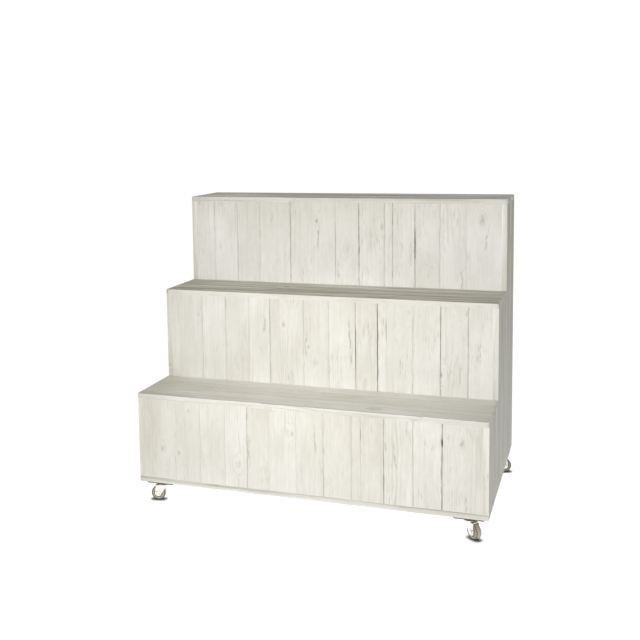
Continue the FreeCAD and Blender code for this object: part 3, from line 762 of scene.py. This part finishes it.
class Panel:
    """Boards collected into one mesh."""

    def __init__(self, lay, seed):
        self.lay = lay
        self.mesh = bmesh.new()
        layers = self.mesh.verts.layers.float_vector
        self.layers = {name: layers.new(name) for name in BOARD_FACTS}
        self.random = random.Random(seed)

    def add(self, low, high, edges, step, wash_of, knots, tears, nicks):
        """Cut, weather and place one board. A knot is (across, along, radius) in the frame, and a
        tear (across, along, half its length)."""
        lay = self.lay
        seed = self.random.uniform(0, NOISE_TRACKS)
        board = cut_board(low, high, lay, edges, step)
        flat = [vert.co.copy() for vert in board.verts]
        weather(board, low, high, lay, seed, edges, nicks)
        loose = bpy.data.meshes.new("loose_board")
        board.to_mesh(loose)
        board.free()
        first = len(self.mesh.verts)
        self.mesh.from_mesh(loose)
        bpy.data.meshes.remove(loose)
        self.mesh.verts.ensure_lookup_table()
        middle = (low + high) / 2
        face = (high if lay.face > 0 else low)[lay.thickness]
        log = Vector((self.random.uniform(*HEART_ASIDE) * MM, self.random.uniform(*HEART_BELOW) * MM,
                      self.random.uniform(*HEIGHT_UP_LOG)))
        half = (high - low)[lay.width] / 2
        marks = [[(across - middle[lay.width] + log.x, along + log.z, size)
                  for across, along, size in places] for places in (knots, tears)]
        marks = [(found + [NOWHERE, NOWHERE])[:2] for found in marks]
        joints = [EDGES[kind]["mark"] for kind in edges]
        own_tone = self.random.uniform(-OWN_TONE, OWN_TONE)
        for vert, place in zip(self.mesh.verts[first:], flat):
            across = place[lay.width] - middle[lay.width]
            below = (face - place[lay.thickness]) * lay.face
            vert[self.layers["timber"]] = (across + log.x, below + log.y, place[lay.grain] + log.z)
            worn, tone = wash_of(place, below)
            vert[self.layers["edge"]] = (across, half, worn)
            vert[self.layers["seam"]] = (*joints, tone + own_tone)
            for fact, mark in zip(BOARD_FACTS[3:], marks[0] + marks[1]):
                vert[self.layers[fact]] = mark

    def finish(self, name, material, slot, *nodes):
        """Show the panel on the carcass, in the place of its CAD nodes."""
        mesh = show(self.mesh, name, "carcass", material, slot, *nodes)
        triangles = sum(len(face.vertices) - 2 for face in mesh.polygons)
        print(f"{name}: {triangles} triangles")


# %% [markdown]
# ## The state of the wash
#
# Hands, crates and feet rub the paint, more at one side of a panel than at the other, and the wash
# is whitest where nobody touches it. On the risers the same ramps paint light too: whiter at the
# foot, for bounce light. Vertex painting could say where, brush stroke by brush stroke. A ramp
# along one axis says it in two numbers, for the wear and for the tone of the good face. The narrow
# edges, the ends and the arris between them have their own wear.

# %% The state of the wash
NARROW_TONE = -0.42
ARRIS_DEPTH = 0.8 * MM  # points nearer to the good face than this belong to its arris


class Wash:
    """How rubbed each place of a panel is, from 0, fresh paint, to 1, mostly wood, and its tone:
    the higher, the creamier."""

    def __init__(self, axis=2, worn=(0, 0), tone=(-0.2, -0.2), rim=0, arris=0, ends=None,
                 narrow=(NARROW_TONE, NARROW_TONE)):
        self.axis, self.worn, self.tone, self.narrow = axis, worn, tone, narrow
        self.rim, self.arris, self.ends = rim, arris, ends

    def over(self, low, high, lay):
        """The function of place and depth for a panel that fills a box."""
        def between(pair, place):
            share = (place[self.axis] - low[self.axis]) / (high[self.axis] - low[self.axis])
            return pair[0] + (pair[1] - pair[0]) * share

        def wash_of(place, below):
            at_end = min(place[lay.grain] - low[lay.grain], high[lay.grain] - place[lay.grain]) < TOUCH
            if at_end and self.ends is not None:
                return self.ends, between(self.narrow, place)
            if below < TOUCH:
                return between(self.worn, place), between(self.tone, place)
            if below < ARRIS_DEPTH:
                return self.arris, between(self.tone, place)
            return self.rim, between(self.narrow, place)
        return wash_of


# %% [markdown]
# ## Building a panel
#
# A panel takes its boards from the CAD node and pushes them together as far as their edges allow.
# Knots and tears are given as places in the frame, and each goes to the board that it lies on. A
# panel that is given no knots gets about one small knot a board, at random.

# %% Building a panel
HALF_GAP = 0.4 * MM  # the CAD leaves it at both sides of every board
SMALL_KNOT = (4, 7)  # mm


def push_together(boards, axis, edges):
    """Close the CAD gaps down to the gap of each joint, and fill the half gaps at both sides."""
    for (_, left), (right, _), kind in zip(boards, boards[1:], edges):
        slack = right[axis] - left[axis] - EDGES[kind]["gap"] * MM
        left[axis] += slack / 2
        right[axis] -= slack / 2
    boards[0][0][axis] -= HALF_GAP
    boards[-1][1][axis] += HALF_GAP


def make_panel(name, node, lay, seed, edges, wash, knots=None, tears=(), nicks=(), step=8 * MM,
               material=WHITEWASH, slot="whitewashed_pine", touching=True):
    """Edges gives the outer edges and the joints in order; its middle letter is repeated."""
    panel = Panel(lay, seed)
    boards = boards_of(node, lay.width)
    low, high = boards[0][0].copy(), boards[-1][1].copy()
    if len(edges) < len(boards) + 1:
        edges = edges[0] + edges[1] * (len(boards) - 1) + edges[-1]
    if touching:
        push_together(boards, lay.width, edges[1:])
    if knots is None:
        knots = [(panel.random.uniform(low[lay.width], high[lay.width]),
                  panel.random.uniform(low[lay.grain], high[lay.grain]),
                  panel.random.uniform(*SMALL_KNOT) * MM) for _ in boards]
    for number, (left, right) in enumerate(boards):
        on_board = [[mark for mark in marks if left[lay.width] < mark[0] < right[lay.width]]
                    for marks in (knots, tears)]
        bitten = [(1 if joint == number else -1, *nick) for joint, *nick in nicks
                  if joint in (number, number - 1)]
        panel.add(left, right, edges[number:number + 2], step, wash.over(low, high, lay),
                  *on_board, bitten)
    panel.finish(name, material, slot, node)


# %% [markdown]
# ## Risers
#
# Fifteen upright planks to a riser, of uneven widths. Knots, torn streaks and splintered edges are
# few, and the eye goes to them. Noise could scatter them, but then nobody would choose where they
# fall, so each is put in its own place. Each riser is painted greyer near its top and whitest at its
# foot: painted light, for the bounce from the tread below that brightens a riser's foot.

# %% Marks on the risers
RISER_EDGES = {
    "lower": "s00113112213240s",
    "middle": "s02213022340233s",
    "upper": "s22203023233210s",
}
# Knots, as mm from the table's left side, mm down from the riser's top, and radius in mm.
RISER_KNOTS = {
    "lower": [(88, 172, 9), (150, 182, 8), (190, 30, 6), (360, 200, 9), (562, 75, 7), (1120, 60, 11)],
    "middle": [(572, 220, 9), (545, 165, 6), (455, 90, 9), (1092, 20, 8), (903, 28, 8), (1010, 235, 8)],
    "upper": [(505, 70, 8), (755, 88, 10), (925, 258, 9), (1040, 200, 8), (1115, 58, 12), (625, 170, 9)],
}
# Torn streaks, as mm from the left side, mm down to their middle, and half their length in mm.
RISER_TEARS = {
    "lower": [(410, 150, 70), (640, 95, 60), (905, 120, 55), (1130, 250, 45)],
    "middle": [(538, 160, 60), (694, 125, 75), (700, 190, 45), (815, 80, 35), (380, 90, 40),
               (1075, 230, 45), (1140, 150, 40)],
    "upper": [(510, 118, 62), (590, 250, 50), (860, 190, 60), (1042, 265, 48), (1128, 120, 70),
              (330, 60, 35)],
}
# Splintered stretches, as joint number, mm down to their middle, half their length and width in mm.
RISER_NICKS = {
    "lower": [(12, 62, 14, 4.0), (9, 60, 22, 1.6), (10, 200, 30, 1.2)],
    "middle": [(8, 150, 78, 1.8), (9, 150, 130, 1.2), (10, 88, 40, 2.4), (12, 140, 90, 1)],
    "upper": [(7, 180, 90, 1.4), (10, 152, 58, 4.6), (6, 150, 90, 0.9)],
}
# Painted light: the ramps paint each riser whiter at its foot and greyer near its top, as bounce light
# from the tread below would, and the higher risers whiter. The rim and arris are edge wear.
RISER_WASH_AND_PAINTED_BOUNCE = {  # each pair is at the foot and at the top
    "lower": Wash(worn=(0.12, 0.1), tone=(-0.3, -0.1), rim=0.12, arris=0.1),
    "middle": Wash(worn=(0.0, 0.12), tone=(-0.5, -0.24), rim=0.12, arris=0.1),
    "upper": Wash(worn=(0.0, 0.11), tone=(-0.75, -0.18), rim=0.12, arris=0.1),
}
print("knots on the risers:", sum(map(len, RISER_KNOTS.values())))

# %% [markdown]
# The lists count down from the top of a riser and from the table's left side, as one would read
# them off the real thing, and are turned into places in the frame here.

# %% Building the risers
LEFT_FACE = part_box("base_board")[0].x


def make_riser(level, seed):
    node = f"{level}_riser_planks"
    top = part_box(node)[1].z
    knots, tears = [[(LEFT_FACE + x * MM, top - down * MM, size * MM) for x, down, size in marks[level]]
                    for marks in (RISER_KNOTS, RISER_TEARS)]
    nicks = [(joint, top - down * MM, reach * MM, width * MM / 2)
             for joint, down, reach, width in RISER_NICKS[level]]
    make_panel(f"{level}_riser", node, FRONT, seed, RISER_EDGES[level], RISER_WASH_AND_PAINTED_BOUNCE[level], knots,
               tears, nicks, step=6 * MM)


for seed, level in enumerate(("lower", "middle", "upper"), start=11):
    make_riser(level, seed)

# %% [markdown]
# ## Treads, sides, back and base
#
# The treads run lengthwise over the sides. Goods and hands have scuffed them grey, most at the
# front, and their front arris is rubbed to the wood. The sides are a little rubbed, the back
# hardly at all. Their knots may fall anywhere, so a list of marks like that of the risers isn't
# needed, and each panel is one line.

# %% Treads, sides, back and base
TREAD_WASH = {  # each pair is at the front and at the rear
    "lower": Wash(TREAD.width, (0.37, 0.06), rim=0.24, arris=0.9, ends=0.4),
    "middle": Wash(TREAD.width, (0.85, 0.42), rim=0.1, arris=0.8, ends=0.5),
    "upper": Wash(TREAD.width, (0.6, 0.46), rim=0.28, arris=0.6, ends=0.5),
}
SIDE_WASH = Wash(worn=(0.34, 0.5), tone=(-0.4, 0.1), narrow=(0.3, -0.9))
SIDE_EDGES = "s11011011s"  # a clean edge where each step's first plank shows from the front
BACK_WASH = Wash(worn=(0.05, 0.05), rim=0.05)
BASE_WASH = Wash(rim=0.5)

for seed, level in enumerate(("lower", "middle", "upper"), start=21):
    make_panel(f"{level}_tread", f"{level}_tread_boards", TREAD, seed, "w1w", TREAD_WASH[level])
make_panel("left_side", "left_side_planks", LEFT, 31, SIDE_EDGES, SIDE_WASH)
make_panel("right_side", "right_side_planks", RIGHT, 32, SIDE_EDGES, SIDE_WASH)
make_panel("back", "back_planks", BACK, 33, "s2s", BACK_WASH)
make_panel("base", "base_board", FLAT, 34, "s2s", BASE_WASH, touching=False)

# %% [markdown]
# ## Battens
#
# Battens carry the planks from inside. The CAD's plain bars would serve, since the panels hide
# them, but the helpers for boards turn them into timber at no cost: planed, left bare, and cut into
# fewer lengths.

# %% Battens
BARE = Wash()
BATTENS = {  # which axis the grain runs along: 0 left to right, 1 front to back, 2 upright
    "front_bearer": 0, "back_bearer": 0, "lower_front_rail": 0, "middle_foot_rail": 0,
    "middle_front_rail": 0, "upper_foot_rail": 0, "upper_front_rail": 0, "upper_back_rail": 0,
    "lower_tread_rails": 1, "middle_tread_rails": 1, "upper_tread_rails": 1,
    "front_posts": 2, "middle_posts": 2, "upper_posts": 2, "back_posts": 2,
}
for seed, (node, grain) in enumerate(BATTENS.items(), start=41):
    lay = Lay(width=(grain + 1) % 3, thickness=(grain + 2) % 3, grain=grain, face=1)
    make_panel(f"{node}_timber", node, lay, seed, "www", BARE, step=40 * MM, material=BARE_PINE,
               slot="bare_pine_battens", touching=False)

# %% [markdown]
# ## Zinc
#
# The forks are pressed steel with bright zinc, the plates are duller, and the screws are yellow.
# Zinc is a metal, so its colour sits in the reflection. One roughness all over would look like
# chrome or paint. Plating blurs the shine unevenly, which a little noise in the roughness gives.

# %% Metal finishes
PRESSING_MARKS = 140.0  # waves a metre
BLUR = (-0.06, 0.08)  # how far the roughness goes below and above its middle


def zinc(name, colour, roughness):
    """Electroplated zinc on pressed steel: a clear metal whose pressing marks blur the shine."""
    material, tree, shader = new_material(name)
    place = add_node(tree, "TexCoord", out="Object")
    cloudy = add_node(tree, "TexNoise", place, ("Scale", PRESSING_MARKS), ("Detail", 3.0), out="Fac")
    shader.inputs["Metallic"].default_value = 1
    shader.inputs["Base Color"].default_value = linear(colour)
    blur = ramp(tree, cloudy, (0.3, 0.7), [roughness + shift for shift in BLUR])
    tree.links.new(blur, shader.inputs["Roughness"])
    return material


BRIGHT_ZINC = zinc("bright_zinc_plated_steel", "F6F4EE", 0.38)
DULL_ZINC = zinc("dull_zinc_plated_steel", "68645A", 0.5)
CHROME_STEEL = zinc("polished_bearing_steel", "C4C6C8", 0.12)
YELLOW_ZINC = zinc("yellow_zinc_plated_steel", "D9B767", 0.32)

FINISHES = {  # by the ending of a node's name
    "plate": DULL_ZINC, "fork": BRIGHT_ZINC, "axle_sleeve": DULL_ZINC,
    "caster_kingpins": BRIGHT_ZINC, "bearing_balls": CHROME_STEEL,
    "caster_screws": YELLOW_ZINC, "frame_screws": YELLOW_ZINC,
}
for node, thing in frame["nodes"].items():
    for ending, finish in FINISHES.items():
        if node.endswith(ending):
            thing.data.materials.clear()
            thing.data.materials.append(finish)
print("finished CAD nodes of", len(FINISHES), "kinds")

# %% [markdown]
# ## Plastic and rubber
#
# The wheels are a grey polypropylene core in a darker rubber tyre. Both come out of a mould whose
# sparked steel leaves a fine, even grit, so both share one recipe: small noise for the grit, paler
# where it is scuffed. The tyre's tread also carries an attribute that says where it has rolled,
# and there dust covers it.

# %% Plastic and rubber finishes
GRIT_DEPTH = 0.05 * MM
GRIT_STRENGTH = 0.3


def moulded(name, colour, scuffed, roughness, grit, dust=None):
    """A moulded skin with a fine sparked texture and paler scuffs, and dust where it has rolled."""
    material, tree, shader = new_material(name)
    place = add_node(tree, "TexCoord", out="Object")
    fine = add_node(tree, "TexNoise", place, ("Scale", 1 / grit), ("Detail", 2.0), out="Fac")
    tint = ramp(tree, fine, (0.35, 0.7), (0.0, 0.5))
    shade = add_node(tree, "MixRGB", tint, linear(colour), linear(scuffed))
    if dust:
        rolled = add_node(tree, "Attribute", attribute_name="rolled", out="Fac")
        shade = add_node(tree, "MixRGB", rolled, shade, linear(dust))
    tree.links.new(shade, shader.inputs["Base Color"])
    shader.inputs["Roughness"].default_value = roughness
    relief(tree, shader, fine, GRIT_DEPTH, GRIT_STRENGTH)
    return material


CORE = moulded("moulded_grey_polypropylene", "B9B6AD", "CFCCC4", 0.45, 1.2 * MM)
RUBBER = moulded("moulded_grey_rubber", "6E6A61", "868175", 0.7, 0.8 * MM, dust="CFC2B4")
print("made", CORE.name, "and", RUBBER.name)

# %% [markdown]
# ## Wheels
#
# A tyre and its core are both round, so each is a profile turned about the axle. A Screw modifier
# would turn it too, but it stays a modifier. The spin operator gives the mesh at once, and merges
# the last step with the first. Pieces are drawn at the origin with the axle along Y and then moved
# to the axle of their corner, which the joint gives.

# %% Spinning about the axle
SPIN_STEPS = 64
SHARP_ANGLE = 35  # degrees: softer bends are shaded smooth
AXLES = {joint["name"].removesuffix("_roll"): joint for joint in frame["joints"]
         if joint["name"].endswith("_roll")}


def on_axle(corner):
    """The place and turn of a piece that was drawn at the origin with its axle along Y."""
    axle = Vector(AXLES[corner]["axis"])
    turn = Matrix((axle.cross(Vector((0, 0, 1))), axle, (0, 0, 1))).transposed().to_4x4()
    return Matrix.Translation(AXLES[corner]["pos_m"]) @ turn


def spun(bm, profile):
    """Spin a closed outline of (radius, place along the axle) in mm all the way round."""
    verts = [bm.verts.new((radius * MM, along * MM, 0)) for radius, along in profile]
    edges = [bm.edges.new(pair) for pair in zip(verts, verts[1:] + verts[:1])]
    bmesh.ops.spin(bm, geom=verts + edges, cent=(0, 0, 0), axis=(0, 1, 0), angle=math.tau,
                   steps=SPIN_STEPS, use_merge=True)
    bmesh.ops.remove_doubles(bm, verts=bm.verts, dist=TOUCH)


def fit_on_axle(bm, name, corner, body, material, slot, *nodes):
    """Place a piece on its axle and let it ride with its body."""
    bmesh.ops.transform(bm, matrix=on_axle(corner), verts=bm.verts)
    mesh = show(bm, name, body, material, slot, *nodes)
    mesh.shade_smooth()
    mesh.set_sharp_from_angle(angle=math.radians(SHARP_ANGLE))


print("corners:", *AXLES)

# %% [markdown]
# ## Tyre and core
#
# The tyre has rounded shoulders and a fine mould line round its middle. The core has a hub, a thin
# web and a rim, and eight ribs on each face stiffen the web. The profiles are closed outlines, read
# once round. Their corners are drawn eased, which takes fewer faces than a bevel all the way round.

# %% Tyre and core
TYRE = [(20.05, -8.7), (22.2, -9), (23.6, -8.6), (24.5, -7.5), (24.85, -6), (24.9, -0.5), (25, 0),
        (24.9, 0.5), (24.85, 6), (24.5, 7.5), (23.6, 8.6), (22.2, 9), (20.05, 8.7)]
CORE_PROFILE = [(5.57, -10.2), (8.6, -10.2), (9, -9.8), (9.6, -3), (16.4, -3), (17, -8), (17.6, -8.5),
                (20, -8.5), (20, 8.5), (17.6, 8.5), (17, 8), (16.4, 3), (9.6, 3), (9, 9.8),
                (8.6, 10.2), (5.57, 10.2)]
RIBS = 8
RIB_SIZE = Vector((7.6, 3.6, 1.3)) * MM
RIB_RADIUS = 13.1 * MM
RIB_HEIGHT = 4.6 * MM
ROLLED_RADIUS = 24.7 * MM  # the tyre meets the floor beyond this
ROLLED_DUST = 0.85


def make_wheel(corner):
    tyre = bmesh.new()
    spun(tyre, TYRE)
    rolled = tyre.verts.layers.float.new("rolled")
    for vert in tyre.verts:
        vert[rolled] = ROLLED_DUST if vert.co.xz.length > ROLLED_RADIUS else 0
    fit_on_axle(tyre, f"{corner}_moulded_tyre", corner, f"{corner}_wheel", RUBBER, "grey_rubber_tyre",
                f"{corner}_tyre")
    core = bmesh.new()
    spun(core, CORE_PROFILE)
    for number in range(RIBS):
        for face in (-1, 1):
            place = (Matrix.Rotation(math.tau * number / RIBS, 4, "Y")
                     @ Matrix.Translation((RIB_RADIUS, face * RIB_HEIGHT, 0))
                     @ Matrix.Diagonal((*RIB_SIZE, 1)))
            bmesh.ops.create_cube(core, size=1, matrix=place)
    fit_on_axle(core, f"{corner}_ribbed_core", corner, f"{corner}_wheel", CORE, "grey_wheel_core",
                f"{corner}_wheel_core")


for corner in AXLES:
    make_wheel(corner)
print("wheels:", len(AXLES))

# %% [markdown]
# ## Axle bolt and nut
#
# The axle is a hexagon bolt with a nut. A hexagon could be a circle of six points, extruded. The
# cone operator makes it in one go, with six sides and equal radii. Real heads have their corners
# turned off, so the outer rim of each is bevelled. The bolt's end stands a little proud of the nut.

# %% Axle bolts and nuts
FORK_HALF = 13  # mm, like all that follow: half the width over the fork's legs
HEAD_THICK = 5.3
NUT_THICK = 6.5
HEX_RADIUS = 7.5
CORNER_BEVEL = 0.9
SHANK_RADIUS = 4
SHANK_END = 21
SHANK_BEVEL = 0.7


def edges_beyond(made, reach):
    """The edges between new points that are farther than reach along the axle, each once."""
    return list(dict.fromkeys(edge for vert in made["verts"] for edge in vert.link_edges
                              if all(abs(end.co.y) > reach * MM for end in edge.verts)))


def hexagon(bm, start, thick):
    """A six-sided head or nut along the axle, from start towards its chamfered outer face."""
    middle = start + math.copysign(thick / 2, start)
    place = Matrix.Translation((0, middle * MM, 0)) @ Matrix.Rotation(math.pi / 2, 4, "X")
    made = bmesh.ops.create_cone(bm, cap_ends=True, segments=6, radius1=HEX_RADIUS * MM,
                                 radius2=HEX_RADIUS * MM, depth=thick * MM, matrix=place)
    outer = edges_beyond(made, abs(middle) + thick / 4)
    bmesh.ops.bevel(bm, geom=outer, offset=CORNER_BEVEL * MM, offset_type="OFFSET", segments=2,
                    profile=0.5, affect="EDGES", material=-1)


def make_axle_bolt(corner):
    bolt = bmesh.new()
    hexagon(bolt, -FORK_HALF, HEAD_THICK)
    place = (Matrix.Translation((0, (SHANK_END - FORK_HALF) / 2 * MM, 0))
             @ Matrix.Rotation(math.pi / 2, 4, "X"))
    shank = bmesh.ops.create_cone(bolt, cap_ends=True, segments=32, radius1=SHANK_RADIUS * MM,
                                  radius2=SHANK_RADIUS * MM, depth=(SHANK_END + FORK_HALF) * MM,
                                  matrix=place)
    bmesh.ops.bevel(bolt, geom=edges_beyond(shank, SHANK_END - 1), offset=SHANK_BEVEL * MM,
                    offset_type="OFFSET", segments=1, profile=0.5, affect="EDGES", material=-1)
    fit_on_axle(bolt, f"{corner}_hex_bolt", corner, f"{corner}_swivel", BRIGHT_ZINC,
                "zinc_plated_steel", f"{corner}_axle_bolt")
    nut = bmesh.new()
    hexagon(nut, FORK_HALF, NUT_THICK)
    fit_on_axle(nut, f"{corner}_hex_nut", corner, f"{corner}_swivel", BRIGHT_ZINC,
                "zinc_plated_steel", f"{corner}_axle_nut")


for corner in AXLES:
    make_axle_bolt(corner)
print("bolts and nuts:", len(AXLES))
